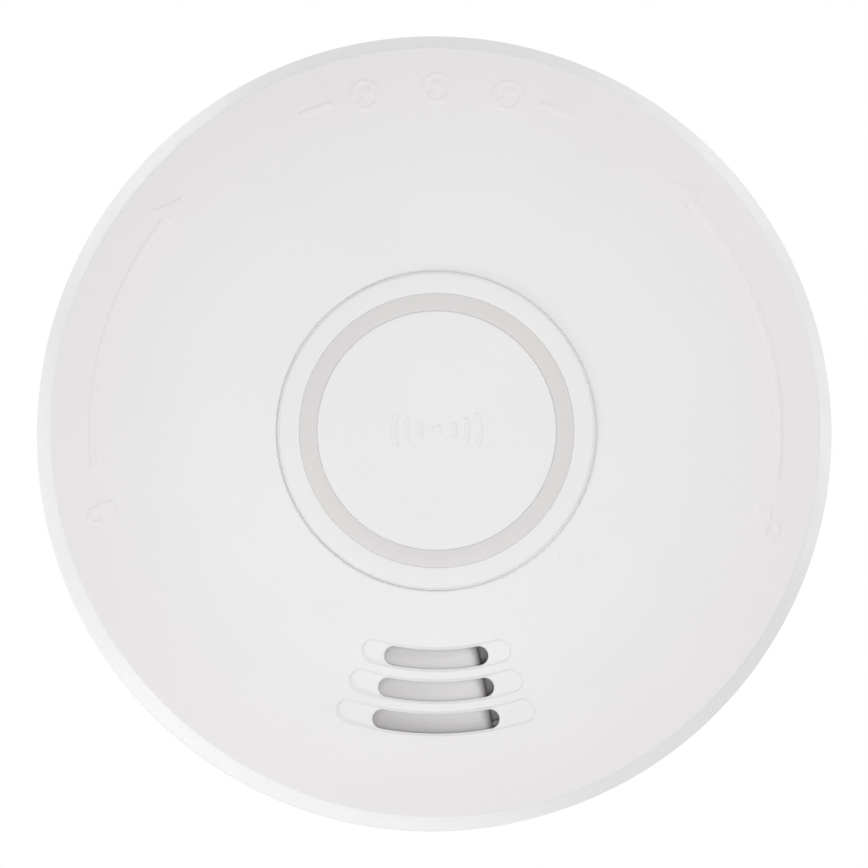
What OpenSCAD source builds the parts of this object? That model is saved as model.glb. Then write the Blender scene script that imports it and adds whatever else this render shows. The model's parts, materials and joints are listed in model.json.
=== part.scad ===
// Round smoke alarm for a wall or ceiling: a head that twists onto a mounting plate.
// Millimetres. The wall is the plane y = 0 and the face looks along -Y, with +Z up.

/* [Body] */
// Widest diameter, at the front cover
body_d = 100; // [98:0.5:102]
// From the wall to the crown of the dome that the front face follows
body_depth = 37.4; // [37:0.1:39]
// How far the front face falls from its middle to the bevel
face_drop = 3.2; // [2.4:0.1:3.6]
// Radial width of the bevel round the face
bevel_w = 1.9; // [1.4:0.1:2.4]
// Depth of the bevel, measured along the axis
bevel_h = 3.6; // [2.8:0.1:4]
// Wall thickness of the mouldings
wall_t = 2; // [1.8:0.1:2.2]
// Height of the ring of smoke inlets
inlet_h = 6; // [5:0.5:6.5]
// Number of ribs between the smoke inlets
inlet_ribs = 54; // [40:2:60]

/* [Test button] */
// Diameter of the button
button_d = 39.5; // [39.2:0.1:39.8]
// Gap between the button and the front cover
button_gap = 0.2; // [0.15:0.05:0.3]
// Travel of the button and of the switch below it
button_travel = 0.6; // [0.4:0.1:0.8]
// Outer diameter of the light ring
ring_outer_d = 34.3; // [34:0.1:34.6]
// Inner diameter of the light ring
ring_inner_d = 29.9; // [29.6:0.1:30.4]

/* [Sounder] */
// Radius from the axis to the first sound slot
slot_first_r = 28.55; // [28.4:0.05:29]
// Distance from one sound slot to the next
slot_pitch = 4; // [3.95:0.05:4.1]
// Width of a sound slot
slot_w = 2.4; // [2.2:0.1:2.6]
// Diameter of the piezo disc
piezo_d = 25; // [24:0.5:25.5]

/* [Mounting plate] */
// Diameter of the plate
plate_d = 90; // [88:0.5:91]
// Spacing of the screw slots on the level line
screw_level = 60; // [59:0.5:61]
// Spacing of the screw slots on the upright line
screw_upright = 50.8; // [50:0.2:52]
// Width of a screw slot
screw_slot_w = 4.4; // [4:0.1:4.6]
// Length of a screw slot, end to end
screw_slot_l = 8.4; // [8:0.1:9]
// Angle that the head turns to come off the plate
twist = 13; // [12:0.5:14]

/* [Battery] */
// Diameter of the sealed lithium cell
cell_d = 17; // [16:0.1:17]
// Length of the sealed lithium cell
cell_l = 34.5; // [33:0.1:34.5]

/* [Hidden] */
$fn = 96;
join = 0.2; // overlap that fuses two shapes of one moulding

// Levels, counted from the wall towards the room
plate_h = 5;
plate_t = 2;
head_gap = 0.4;
skirt_z = 2.2;
back_z = plate_h + head_gap;
floor_z = back_z + wall_t;
board_z = floor_z + 3.6;
board_t = 1.6;
parts_z = board_z + board_t;
inlet_z = board_z;
cover_z = inlet_z + inlet_h;
bevel_z = body_depth - face_drop - bevel_h;

// Radii about the alarm's axis
body_r = body_d / 2;
face_r = body_r - bevel_w;
base_r = body_r - 0.8;
rib_in_r = body_r - 4.6;
rib_out_r = body_r - 2.4;
plate_r = plate_d / 2;
cable_r = 13;
board_r = body_r - 6.5;
button_r = button_d / 2;
well_r = button_r + button_gap;

// Height of the front face at a radius, and the same for a list of radii
function face_z(r) = body_depth - face_drop * pow(r / face_r, 2.4);
function face_points(r_list, lift) = [for (r = r_list) [r, face_z(r) + lift]];

// Button and light ring
lip_r = 0.4; // rounding of the face's edge round the button
button_top = face_z(well_r) + 0.5;
cap_top = button_top + 0.1;
leg_r = well_r - 1.9;
web_z = button_top - 4;
channel_z = web_z + 1.4;
ring_mean_r = (ring_outer_d + ring_inner_d) / 4;
well_z = web_z - 3.6;
well_t = 1.6;
cup_r = 6.2;
cup_z = well_z - 5.6;
stem_r = 2.5;
switch_top = 22;
snap_angles = [60, 180, 300];
light_angles = [200, 340];

// Twist-lock hooks on the back of the head
hook_r = 36;
hook_w = 2.1;
hook_stem = 6;
hook_lip = 11;
hook_first = 40;
hook_play = 0.8;

// Places on the circuit board
cover_screw_r = 41;
cover_screw_angles = [113, 233, 353];
board_screw_at = [[33, 14], [-17, 22], [22, -32]];
capacitor_at = [[31, -21], [36, -13], [27.5, -27]];
chamber_at = [8, 26];
chamber_r = 18;
chamber_top = 26.4;
emitter_angle = 225;
receiver_angle = 345;
optics_z = 20;
sounder_at = [-2, -31];
sounder_r = 14;
sounder_top = 31.2;
shelf_z = 29.2;
piezo_z = 20;
port_at = [6.35, -32.55];
port_slant = 11.3;
cell_at = [-33.5, 0];
cell_z = parts_z + 1.2 + cell_d / 2;

// ---- shared shapes ----

// Turns a part drawn round the z axis, wall at z = 0, to face along -Y
module facing_out() rotate([90, 0, 0]) children();

module around(angles) for (a = angles) rotate([0, 0, a]) children();

module at_each(places) for (p = places) translate([p[0], p[1], 0]) children();

module rod(r, z0, z1) translate([0, 0, z0]) cylinder(r = r, h = z1 - z0);

module tube(r_out, r_in, z0, z1) difference() {
    rod(r_out, z0, z1);
    rod(r_in, z0 - 1, z1 + 1);
}

// A bar bent round the axis, from angle a0 to a1
module arc_bar(r, w, a0, a1, z0, z1) rotate([0, 0, a0]) rotate_extrude(angle = a1 - a0)
    translate([r - w / 2, z0]) square([w, z1 - z0]);

// Points on an arc about the axis, and on a round end at angle a of a bent bar of width w
function arc_points(r, angles) = [for (a = angles) r * [cos(a), sin(a)]];
function end_points(r, w, a, turns) = [for (b = turns)
    r * [cos(a), sin(a)] + w / 2 * [cos(a + b), sin(a + b)]];

// A bar bent round the axis with round ends, its centres half degrees either side of angle mid
module arc_slot(r, w, mid, half, z0, z1) translate([0, 0, z0]) linear_extrude(z1 - z0)
    polygon(concat(
        arc_points(r + w / 2, [for (k = [-3 : 3]) mid + half * k / 4]),
        end_points(r, w, mid + half, [0 : 22.5 : 180]),
        arc_points(r - w / 2, [for (k = [3 : -1 : -3]) mid + half * k / 4]),
        end_points(r, w, mid - half, [180 : 22.5 : 360])));

// A block with round ends along x
module stadium(length, w, z0, z1) {
    for (side = [-1, 1]) translate([side * (length - w) / 2, 0, 0]) rod(w / 2, z0, z1);
    translate([-(length - w) / 2, -w / 2, z0]) cube([length - w, w, z1 - z0]);
}

module block(x, y, z0, z1) translate([-x / 2, -y / 2, z0]) cube([x, y, z1 - z0]);

// ---- mounting plate ----

// Places of the four screw slots: angle and distance from the axis
module at_screws() {
    around([0, 180]) translate([screw_level / 2, 0, 0]) children();
    around([90, 270]) translate([screw_upright / 2, 0, 0]) children();
}

module mounting_plate() color("whitesmoke") facing_out() difference() {
    union() {
        rod(plate_r, plate_h - plate_t, plate_h);
        tube(plate_r, plate_r - 1.8, 0, plate_h - plate_t + join);
        tube(cable_r + 1.6, cable_r, 0, plate_h - plate_t + join);
        at_screws() stadium(screw_slot_l + 8, screw_slot_w + 8, 0, plate_h - plate_t + join);
        around([for (k = [0 : 3], a = [20, 70]) 90 * k + a])
            translate([cable_r + 1, -0.6, 0.6])
                cube([plate_r - cable_r - 2, 1.2, plate_h - plate_t - 0.6 + join]);
    }
    rod(cable_r, -1, plate_h + 1);
    at_screws() {
        stadium(screw_slot_l, screw_slot_w, -1, plate_h + 1);
        stadium(screw_slot_l + 5.2, screw_slot_w + 5.2, 2, plate_h + 1);
    }
    around([0, 90, 180, 270])
        arc_bar(hook_r + hook_w / 2, hook_w + 0.8, hook_first - hook_play,
            hook_first + hook_stem + twist + hook_play, plate_h - plate_t - 1, plate_h + 1);
}

// ---- head: rear housing ----

module hooks() around([for (k = [0 : 3]) 90 * k + hook_first]) {
    arc_bar(hook_r + hook_w / 2, hook_w - 0.3, 0, hook_stem - 0.3, 1.4, back_z + join);
    arc_bar(hook_r + hook_w / 2, hook_w, -hook_lip, hook_stem, 1, 2.7);
}

module at_cover_screws() around(cover_screw_angles) translate([cover_screw_r, 0, 0]) children();

module rear_housing() color("white") facing_out() difference() {
    union() {
        rod(base_r - 1, back_z, floor_z);
        rotate_extrude() polygon([[base_r - 2.5, skirt_z], [base_r - 0.5, skirt_z],
            [base_r, skirt_z + 0.6], [base_r, inlet_z - 0.4], [base_r - 0.4, inlet_z],
            [base_r - 2, inlet_z], [base_r - 2.5, back_z]]);
        tube(base_r - 1, rib_in_r, inlet_z - 1.2, inlet_z);
        around([for (k = [0 : inlet_ribs - 1]) k * 360 / inlet_ribs])
            translate([rib_in_r + 0.2, -0.7, inlet_z - join])
                cube([rib_out_r - rib_in_r - 0.4, 1.4, inlet_h]);
        tube(rib_out_r, rib_in_r, cover_z - 0.6, cover_z + 1.6);
        at_cover_screws() rod(3.6, floor_z - join, board_z + 2.4);
        at_each(board_screw_at) rod(2.6, floor_z - join, board_z);
        hooks();
    }
    at_cover_screws() {
        rod(1.65, back_z - 1, board_z + 3);
        rod(2.9, back_z - 1, back_z + 3.2);
    }
    at_each(board_screw_at) rod(1.05, floor_z + 0.4, board_z + 1);
}

module rear_label() color("gainsboro") facing_out() rod(24, back_z - 0.12, back_z);

// ---- head: front cover ----

// Section of the shell: bevelled side, domed face, rounded lip at the button opening
lands = [for (k = [3 : -1 : 0]) slot_first_r + (k - 0.5) * slot_pitch];
face_steps = concat([face_r, face_r - 3, face_r - 6], lands, [24, well_r + lip_r]);
lip_steps = [for (a = [30 : 30 : 90])
    [well_r + lip_r * (1 - sin(a)), face_z(well_r + lip_r) - lip_r * (1 - cos(a))]];
shell_outline = concat(
    [[body_r - wall_t, cover_z], [body_r - 0.3, cover_z], [body_r, cover_z + 0.4],
        [body_r - 0.15, bevel_z]],
    face_points(face_steps, 0),
    lip_steps,
    [[well_r, face_z(well_r) - wall_t]],
    face_points([lands[3], lands[2], lands[1], lands[0], face_r - wall_t + 0.4], -wall_t),
    [[body_r - 0.15 - wall_t, bevel_z - 0.6]]);

slot_angles = [13.1, 12.8, 12.5]; // half angles of the three sound slots
scoop_angles = [18.8, 19.3, 19.7]; // half angles of the shallow scoops round them
scoop_depth = 0.3;

module sound_slots() for (k = [0 : 2]) {
    r = slot_first_r + k * slot_pitch;
    half = slot_angles[k] - asin(slot_w / 2 / r);
    scoop_half = scoop_angles[k] - asin((slot_w + 0.5) / 2 / r);
    arc_slot(r, slot_w, 270, half, bevel_z, body_depth);
    arc_slot(r, slot_w + 0.5, 270, scoop_half, face_z(r) - scoop_depth, body_depth + 1);
}

// The face at the middle sound slot, and its slope there
slot_mid_r = slot_first_r + slot_pitch;
slot_slope = (face_z(slot_first_r) - face_z(slot_mid_r + slot_pitch)) / (2 * slot_pitch);

// All that lies more than a depth under the face at the sound slots
module under_slots(depth) translate([0, -slot_mid_r, face_z(slot_mid_r) - depth])
    rotate([atan(slot_slope), 0, 0]) translate([-20, -16, -8]) cube([40, 32, 8]);

// The raised plate of the sounder close behind the slots, or with play the pocket that it fits
module sound_plate(depth, play) intersection() {
    under_slots(depth);
    in_sounder() rod(sounder_r - 1.4 + play, sounder_top - join, body_depth);
    tube(40 + play, 24 - play, sounder_top - join, body_depth);
}

// A thin skin on the face, from which the raised marks are cut
module mark_skin() rotate_extrude()
    polygon(concat(face_points([46, 44, 42, 40], 0.15), face_points([40, 42, 44, 46], -0.3)));

// An arrow bent round the axis: dir = 1 turns anticlockwise, -1 clockwise
module turn_arrow(a0, a1, dir) {
    arc_bar(43, 0.7, min(a0, a1), max(a0, a1), 20, 40);
    rotate([0, 0, a1]) translate([43, 0, 20]) linear_extrude(20)
        polygon([[-1.8, 0], [1.8, 0], [0, 3.4 * dir]]);
}

// A padlock drawn 3.6 mm tall, its shackle swung aside when open
module padlock(open) translate([0, 0, 20]) linear_extrude(20) {
    translate([-1.4, -1.8]) square([2.8, 2]);
    translate([open ? 1 : 0, 0]) intersection() {
        difference() {
            translate([0, 0.7]) circle(1.1);
            translate([0, 0.7]) circle(0.65);
        }
        translate([-2, 0.1]) square([4, 3]);
    }
}

// A paint brush struck through by a bar, inside a ring
module no_paint() translate([0, 0, 20]) linear_extrude(20) {
    difference() {
        circle(1.9);
        circle(1.5);
    }
    translate([-0.2, -1.1]) square([0.4, 1.2]);
    translate([-0.6, 0.1]) square([1.2, 0.9]);
    rotate(45) translate([-1.6, -0.17]) square([3.2, 0.34]);
}

module face_marks() intersection() {
    mark_skin();
    union() {
        turn_arrow(186, 142, -1);
        rotate([0, 0, 194]) translate([43, 0, 0]) rotate([0, 0, -90]) padlock(false);
        turn_arrow(-8, 42, 1);
        rotate([0, 0, -15]) translate([43, 0, 0]) rotate([0, 0, -90]) padlock(true);
        around([78, 90, 102]) translate([43, 0, 0]) rotate([0, 0, -90]) no_paint();
        arc_bar(43, 0.7, 108, 113, 20, 40);
        arc_bar(43, 0.7, 67, 72, 20, 40);
    }
}

// Side of a snap leg or of the opening that it passes, in the floor of the button well
module leg_opening(r, radial, across) translate([r - radial / 2, -across / 2, well_z - 1])
    cube([radial, across, well_t + 2]);

module front_cover() color("whitesmoke") facing_out() {
    difference() {
        union() {
            rotate_extrude() polygon(shell_outline);
            tube(well_r + 1.6, well_r, well_z, face_z(well_r + 2) - 1);
            rod(well_r + 1, well_z, well_z + well_t);
            rod(cup_r + 1.4, cup_z, well_z + join);
            at_cover_screws() rod(3, board_z + 2.6, face_z(cover_screw_r) - 1);
        }
        sound_slots();
        sound_plate(1.2, 0.5);
        rod(cup_r, cup_z + 1.2, well_z + well_t + 1);
        rod(stem_r + 0.4, cup_z - 1, well_z);
        around(snap_angles) leg_opening(leg_r + 0.2, 3, 5);
        around(light_angles) leg_opening(ring_mean_r, 2.6, 4);
        at_cover_screws() rod(1.5, board_z, board_z + 14);
    }
    face_marks();
}

// ---- test button and switch ----

button_outline = [[0, channel_z], [ring_inner_d / 2 - 1.4, channel_z],
    [ring_inner_d / 2 - 1.4, web_z], [well_r - 0.1, web_z], [well_r - 0.1, button_top - 1.1],
    [button_r, button_top - 1.1], [button_r, button_top - 0.5],
    [button_r - 0.15, button_top - 0.15], [button_r - 0.5, button_top],
    [ring_outer_d / 2, button_top], [ring_outer_d / 2, channel_z],
    [ring_inner_d / 2, channel_z], [ring_inner_d / 2, cap_top - 0.2],
    [ring_inner_d / 2 - 0.2, cap_top], [0, cap_top]];

// A dot between two pairs of sound-wave arcs
module sound_symbol(z0, z1) {
    rod(0.6, z0, z1);
    for (side = [0, 180], r = [2.2, 3.8, 5.4])
        arc_bar(r, 0.5, side - 20, side + 20, z0, z1);
}

module snap_leg() translate([leg_r, -2, well_z - 1.9]) {
    cube([1.2, 4, web_z - well_z + 2.1]);
    cube([2.7, 4, 1.6]);
}

module test_button() color("white") facing_out() difference() {
    union() {
        rotate_extrude() polygon(button_outline);
        rod(stem_r, switch_top + 0.1, channel_z + join);
        around([45, 135]) block(2 * ring_inner_d / 2 - 2, 1, web_z + 0.4, channel_z + join);
        around(snap_angles) snap_leg();
        sound_symbol(cap_top - join, cap_top + 0.15);
    }
    around(light_angles) translate([ring_mean_r, 0, 0]) block(2.2, 3.4, web_z - 1, channel_z + 1);
}

module light_ring() color("mistyrose") facing_out() {
    tube(ring_outer_d / 2 - 0.05, ring_inner_d / 2 + 0.05, channel_z, button_top);
    around(light_angles) translate([ring_mean_r, 0, 0])
        block(1.8, 3, parts_z + 4.2, channel_z + join);
}

// Points of a round wire coiled about the axis, one ring of points at each step
spring_turns = 4;
spring_steps = 20;
wire_sides = 8;
function wire_ring(k, r, wire_r, z0, z1) =
    let (turn = k / spring_steps, z = z0 + (z1 - z0) * turn / spring_turns)
    [for (s = [0 : wire_sides - 1])
        let (out = r + wire_r * cos(s * 360 / wire_sides))
        [out * cos(360 * turn), out * sin(360 * turn), z + wire_r * sin(s * 360 / wire_sides)]];

module coil_spring(r, wire_r, z0, z1) {
    last = spring_turns * spring_steps;
    points = [for (k = [0 : last]) each wire_ring(k, r, wire_r, z0, z1)];
    sides = [for (k = [0 : last - 1], s = [0 : wire_sides - 1])
        let (a = k * wire_sides + s, b = k * wire_sides + (s + 1) % wire_sides)
        each [[a, b, b + wire_sides], [a, b + wire_sides, a + wire_sides]]];
    start_cap = [[for (s = [wire_sides - 1 : -1 : 0]) s]];
    end_cap = [[for (s = [0 : wire_sides - 1]) last * wire_sides + s]];
    polyhedron(points, concat(sides, start_cap, end_cap));
}

module button_spring() color("silver") facing_out()
    coil_spring(cup_r - 1.6, 0.35, cup_z + 1.7, web_z + 0.4 - 0.5);

module tact_switch() color("dimgray") facing_out() difference() {
    union() {
        block(6.2, 6.2, parts_z, parts_z + 3.6);
        for (side = [-1, 1], row = [-1, 1]) translate([side * 3.4, row * 2.2, 0])
            block(1.2, 0.7, parts_z, parts_z + 1.2);
    }
    rod(1.9, parts_z + 0.8, parts_z + 4);
}

module switch_plunger() color("black") facing_out() {
    rod(1.75, parts_z + 0.8 + button_travel + 0.3, switch_top);
}

// ---- circuit board and its components ----

module circuit_board() color("seagreen") facing_out() difference() {
    rod(board_r, board_z, parts_z);
    at_cover_screws() {
        rod(4.2, board_z - 1, parts_z + 1);
        translate([0, -4.2, board_z - 1]) cube([10, 8.4, board_t + 2]);
    }
    at_each(board_screw_at) rod(1.25, board_z - 1, parts_z + 1);
}

module control_chip() color("black") facing_out() translate([22, -14, 0]) {
    block(10, 4, parts_z + 0.15, parts_z + 1.75);
    for (k = [0 : 7], side = [-1, 1]) translate([-4.45 + k * 1.27, side * 2.4, 0])
        block(0.45, 1.4, parts_z, parts_z + 0.6);
}

module chip_parts() color("tan") facing_out() {
    for (k = [0 : 5]) translate([19 + 3 * k, -6.5, 0]) block(1.3, 2, parts_z, parts_z + 0.6);
    for (k = [0 : 4]) translate([-19, 14 - 4 * k, 0]) block(2, 1.3, parts_z, parts_z + 0.6);
    for (k = [0 : 3]) translate([24 + 3 * k, 1, 0]) block(1.3, 2, parts_z, parts_z + 0.6);
}

module capacitors() color("steelblue") facing_out() at_each(capacitor_at) {
    rod(3.15, parts_z + 0.3, parts_z + 7.7);
    block(5.6, 5.6, parts_z, parts_z + 0.5);
}

module boost_coil() color("saddlebrown") facing_out() translate([19, -24, 0]) {
    rod(4, parts_z, parts_z + 1.2);
    rod(3, parts_z + 1, parts_z + 7);
    rod(4, parts_z + 6.8, parts_z + 8);
}

module indicator_leds() color("lightgreen") facing_out()
    around(light_angles) translate([ring_mean_r, 0, 0]) {
        rod(1.9, parts_z, parts_z + 1);
        rod(1.5, parts_z + 0.8, parts_z + 1.6);
        translate([0, 0, parts_z + 1.6]) sphere(1.5);
    }

// ---- smoke chamber ----

module in_chamber() translate([chamber_at[0], chamber_at[1], 0]) children();

module along_beam(angle) rotate([0, 0, angle]) translate([0, 0, optics_z]) rotate([0, 90, 0])
    children();

// Block that holds an optical part, with a stepped bore along the beam
module optic_holder(angle) difference() {
    rotate([0, 0, angle]) translate([10, 0, 0]) block(6.8, 7.4, parts_z + 1, optics_z + 4);
    along_beam(angle) rod(2.55, 8.6, 20);
    along_beam(angle) rod(1.4, 0, 12);
}

module chamber_base() color("black") facing_out() in_chamber() {
    rod(chamber_r - 0.8, parts_z, parts_z + 1.8);
    optic_holder(emitter_angle);
    optic_holder(receiver_angle);
}

vane_angles = [for (k = [0 : 15]) k * 22.5];
function clear_of(a, b) = abs((a - b + 540) % 360 - 180) > 30;

module chamber_labyrinth() color("black") facing_out() in_chamber() {
    rod(chamber_r, chamber_top - 1.2, chamber_top);
    around([for (a = vane_angles) if (clear_of(a, emitter_angle) && clear_of(a, receiver_angle)) a])
        translate([13.6, 0, 0]) rotate([0, 0, 40]) {
            block(5, 0.9, parts_z + 2, chamber_top - 1);
            translate([-2.4, 1, 0]) block(0.9, 2.4, parts_z + 2, chamber_top - 1);
        }
    tube(chamber_r - 0.9, chamber_r - 1.9, chamber_top - 2.4, chamber_top - 1);
}

module insect_screen() color("slategray") facing_out() in_chamber() difference() {
    tube(chamber_r - 0.3, chamber_r - 0.7, parts_z + 0.2, chamber_top - 1.3);
    around([for (k = [0 : 29]) k * 12]) translate([chamber_r - 2, -1.1, parts_z + 2.6])
        cube([4, 2.2, chamber_top - parts_z - 5.2]);
}

// A 5 mm optical part lying along the beam, with its two leads turned down to the board
module optic(angle, lens) {
    along_beam(angle) rod(2.45, 9, 14);
    along_beam(angle) translate([0, 0, 9]) sphere(lens);
    rotate([0, 0, angle]) for (side = [-1.27, 1.27]) translate([14.4, side, 0])
        block(1.6, 0.5, parts_z + 1.8, optics_z + 0.25);
}

module ir_emitter() color("lavender") facing_out() in_chamber() optic(emitter_angle, 1.3);

module photodiode() color("darkslategray") facing_out() in_chamber() optic(receiver_angle, 1.3);

// ---- sounder ----

module in_sounder() translate([sounder_at[0], sounder_at[1], 0]) children();

// The side of the port's slanted edge that is open, between two levels
module port_side(z0, z1) translate([port_at[0], port_at[1], z0]) rotate([0, 0, port_slant])
    translate([0, -20, 0]) cube([20, 40, z1 - z0]);

// A shelf under the port, with a locating peg, which turns the sound path sideways
module port_shelf() {
    intersection() {
        in_sounder() rod(sounder_r - 0.5, shelf_z - 1.2, shelf_z);
        translate([-3.5, 0, 0]) port_side(0, body_depth);
    }
    translate([8.2, -38.1, 0]) rod(2.1, shelf_z - join, sounder_top + 0.8);
}

module sounder_housing() color("lightgray") facing_out() difference() {
    union() {
        difference() {
            union() {
                in_sounder() tube(sounder_r, sounder_r - 1.1, parts_z, sounder_top);
                in_sounder() rod(sounder_r - 0.5, sounder_top - 1.2, sounder_top);
                sound_plate(1.5, 0);
            }
            port_side(sounder_top - 4.5, body_depth);
        }
        in_sounder() tube(sounder_r - 0.5, piezo_d / 2 - 1.2, piezo_z, piezo_z + 1);
        port_shelf();
    }
    rod(well_r + 1.9, well_z - 0.3, body_depth);
}

module piezo_disc() color("goldenrod") facing_out() in_sounder()
    rod(piezo_d / 2, piezo_z - 0.3, piezo_z);

module piezo_element() color("lightgray") facing_out() in_sounder()
    rod(piezo_d / 2 - 3, piezo_z - 0.55, piezo_z - 0.3);

// A leaf bent into a Z, from the board up to the disc
module leaf_contact(top) rotate([90, 0, 0]) linear_extrude(2, center = true)
    polygon([[-2.5, parts_z], [2.6, parts_z], [-2.1, top - 0.3], [2.5, top - 0.3],
        [2.5, top], [-2.9, top], [1.7, parts_z + 0.3], [-2.5, parts_z + 0.3]]);

module sounder_contacts() color("silver") facing_out() in_sounder() {
    leaf_contact(piezo_z - 0.55);
    translate([0, -piezo_d / 2 + 1.5, 0]) leaf_contact(piezo_z - 0.3);
}

// ---- battery ----

module along_cell() translate([cell_at[0], cell_at[1], cell_z]) rotate([90, 0, 0]) children();

module battery_cell() color("darkorange") facing_out() along_cell() {
    rod(cell_d / 2, -cell_l / 2, cell_l / 2 - 1);
    rod(3.3, cell_l / 2 - 1.2, cell_l / 2);
}

module battery_cradle() color("white") facing_out() difference() {
    translate([cell_at[0], cell_at[1], 0]) {
        block(13, 28, parts_z, parts_z + 1);
        for (y = [-12, 0, 12]) translate([0, y, 0]) block(16.4, 1.6, parts_z, cell_z - 1);
    }
    along_cell() rod(cell_d / 2 + 0.05, -30, 30);
}

module battery_tabs() color("silver") facing_out() for (side = [-1, 1])
    translate([cell_at[0], cell_at[1] + side * (cell_l / 2 + 0.15), 0])
        block(4, 0.3, parts_z, cell_z + 2);

// ---- screws ----

module screw(head_r, head_h, shank_r, head_z, tip_z) {
    dir = sign(tip_z - head_z);
    difference() {
        rod(head_r, min(head_z, head_z - dir * head_h), max(head_z, head_z - dir * head_h));
        for (turn = [0, 90]) rotate([0, 0, turn])
            translate([0, 0, head_z - dir * head_h]) cube([head_r * 1.1, 0.6, head_h], center = true);
    }
    rod(shank_r, min(head_z, tip_z), max(head_z, tip_z));
}

module board_screws() color("silver") facing_out() at_each(board_screw_at)
    screw(2.2, 1.5, 1, parts_z, floor_z + 0.6);

module housing_screws() color("silver") facing_out() at_cover_screws()
    screw(2.7, 2.2, 1.45, back_z + 3.2, board_z + 12);

mounting_plate();
rear_housing();
front_cover();
test_button();
light_ring();
button_spring();
circuit_board();
control_chip();
chip_parts();
capacitors();
boost_coil();
tact_switch();
switch_plunger();
indicator_leds();
chamber_base();
chamber_labyrinth();
insect_screen();
ir_emitter();
photodiode();
sounder_housing();
piezo_disc();
piezo_element();
sounder_contacts();
battery_cell();
battery_cradle();
battery_tabs();
board_screws();
housing_screws();
rear_label();
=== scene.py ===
"""Looks for the round smoke alarm: fine meshes for the mouldings that show, a material for every
piece, and a plain light studio. Shapes are drawn about the alarm's own axis in millimetres, with
the wall at z = 0 and the face towards +z, and put() turns them into the frame, in metres."""

import json
import math

import bmesh
import bpy
import numpy as np
from mathutils import Matrix, Vector
from mathutils.geometry import delaunay_2d_cdt


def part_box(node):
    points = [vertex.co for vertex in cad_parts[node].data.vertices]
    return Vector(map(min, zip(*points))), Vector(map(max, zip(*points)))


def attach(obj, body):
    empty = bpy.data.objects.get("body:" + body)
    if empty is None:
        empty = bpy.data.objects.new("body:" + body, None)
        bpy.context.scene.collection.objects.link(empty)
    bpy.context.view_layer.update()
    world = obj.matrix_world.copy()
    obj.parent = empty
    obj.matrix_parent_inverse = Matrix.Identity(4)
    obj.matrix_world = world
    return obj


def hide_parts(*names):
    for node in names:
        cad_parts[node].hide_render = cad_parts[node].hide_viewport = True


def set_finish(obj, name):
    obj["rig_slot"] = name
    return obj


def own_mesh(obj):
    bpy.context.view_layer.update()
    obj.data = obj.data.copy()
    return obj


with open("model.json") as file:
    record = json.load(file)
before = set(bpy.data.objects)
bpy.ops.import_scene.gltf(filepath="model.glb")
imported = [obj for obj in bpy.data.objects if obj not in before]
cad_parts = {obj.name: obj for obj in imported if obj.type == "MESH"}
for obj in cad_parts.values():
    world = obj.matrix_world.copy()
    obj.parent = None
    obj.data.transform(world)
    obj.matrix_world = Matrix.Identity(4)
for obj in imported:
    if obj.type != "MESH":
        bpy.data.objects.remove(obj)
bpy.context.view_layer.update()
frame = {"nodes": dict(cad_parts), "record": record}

MM = 0.001

# ---------------------------------------------------------------- sizes, in mm, as in the CAD


def size_of(node):
    """Lowest and highest corner of a CAD node in the alarm's own axes, in millimetres."""
    low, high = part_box(node)
    return (np.array([low.x, low.z, -high.y]) / MM, np.array([high.x, high.z, -low.y]) / MM)


# the front cover's shell: a domed face, a bevel round it, and a side wall that ends at COVER_Z
DEPTH = 37.4
BODY_R = size_of("front_cover")[1][0]
WALL = 2.0
DRAFT = 0.15
BEVEL_W = 1.9
BEVEL_H = 3.6
FACE_DROP = 3.2
DOME_POWER = 2.4
FACE_R = BODY_R - BEVEL_W
BEVEL_Z = DEPTH - FACE_DROP - BEVEL_H
COVER_Z = 17.0

BODY_OF = {node: body for body, nodes in frame["record"]["behaviour"]["bodies"].items()
           for node in nodes}

# the sound slots, and the shallow scoops that they lie in: radii, widths and half angles
DOWN = 270.0
SLOT_R = [28.55, 32.55, 36.55]
SLOT_W = 2.4
SLOT_HALF = [13.1, 12.8, 12.5]
SCOOP_W = 2.9
SCOOP_HALF = [18.8, 19.3, 19.7]
SCOOP_DEPTH = 0.3


def face_z(r):
    """Height of the domed front face at a radius."""
    return DEPTH - FACE_DROP * (r / FACE_R) ** DOME_POWER


# the button in its well: the channel of the light ring, the cap inside it, the button's thin web,
# and the floor of the well
WELL_R = 19.95
BUTTON_R = 19.75
RING_OUT = size_of("light_ring")[1][0] + 0.05
RING_IN = RING_OUT - 2.2
BUTTON_TOP = face_z(WELL_R) + 0.5
CAP_TOP = BUTTON_TOP + 0.1
WEB_Z = BUTTON_TOP - 4
CHANNEL_Z = WEB_Z + 1.4
WELL_Z = WEB_Z - 3.6


# ---------------------------------------------------------------- signed distances, in mm


def sd_arc(x, y, r, w, mid, half):
    """Distance to a bar of width w bent round the axis, with round ends."""
    turn = (np.degrees(np.arctan2(y, x)) - mid + 180) % 360 - 180
    along = np.clip(turn, -half, half)
    a = np.radians(mid + along)
    return np.hypot(x - r * np.cos(a), y - r * np.sin(a)) - w / 2


def sd_bar(x, y, ax, ay, bx, by, w):
    """Distance to a straight bar with round ends."""
    dx, dy = bx - ax, by - ay
    t = np.clip(((x - ax) * dx + (y - ay) * dy) / (dx * dx + dy * dy), 0, 1)
    return np.hypot(x - ax - t * dx, y - ay - t * dy) - w / 2


def sd_box(x, y, cx, cy, hx, hy):
    """Distance to a box with its centre at cx, cy and half sizes hx and hy."""
    qx, qy = np.abs(x - cx) - hx, np.abs(y - cy) - hy
    return np.hypot(np.maximum(qx, 0), np.maximum(qy, 0)) + np.minimum(np.maximum(qx, qy), 0)


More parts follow.
